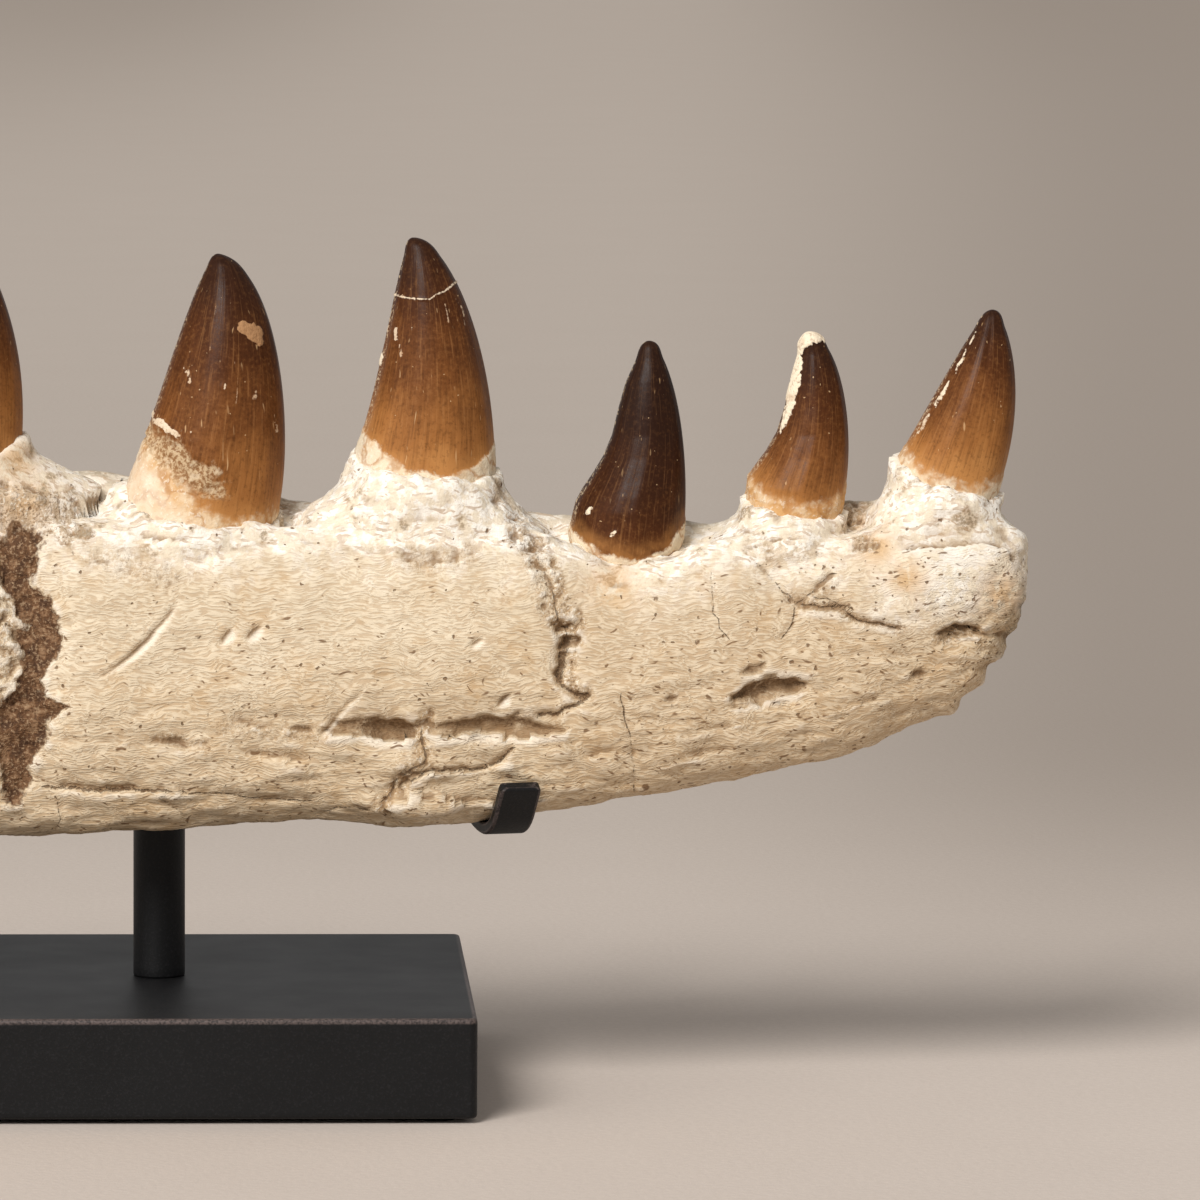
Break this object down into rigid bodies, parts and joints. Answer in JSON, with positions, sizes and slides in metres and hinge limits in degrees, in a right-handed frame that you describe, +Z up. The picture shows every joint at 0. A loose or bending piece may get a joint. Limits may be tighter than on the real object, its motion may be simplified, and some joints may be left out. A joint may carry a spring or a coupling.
{
  "type": "fossil mosasaur jaw",
  "caption": "Fossil lower jaw of a mosasaur, a pale stone-like bone with a row of curved brown teeth, held on a black steel stand with a square base, a round post and turned-up strips.",
  "frame": {"origin": "on the floor under the middle of the base, on the post's axis", "axes": "+X to the tip of the jaw, +Y to the back of the stand, away from the side on show, +Z up"},
  "size_m": [0.332, 0.12, 0.1676],
  "materials": {
    "bone": "dry matt fossil bone, cream to tan, with cracks and fine pits",
    "enamel": "glossy fossil tooth enamel, dark brown at the tip and amber at the foot",
    "black_coat": "fine satin black powder coat on steel",
    "foot_rubber": "matt black"
  },
  "bodies": {
    "root": {"jaw": "bone", "tooth_1": "enamel", "tooth_2": "enamel", "tooth_3": "enamel", "tooth_4": "enamel", "tooth_5": "enamel", "tooth_6": "enamel", "tooth_7": "enamel", "tooth_8": "enamel", "base": "black_coat", "post": "black_coat", "cross_bar": "black_coat", "hook_right": "black_coat", "hook_left": "black_coat", "foot_front_right": "foot_rubber", "foot_front_left": "foot_rubber", "foot_rear_right": "foot_rubber", "foot_rear_left": "foot_rubber"}
  },
  "joints": []
}
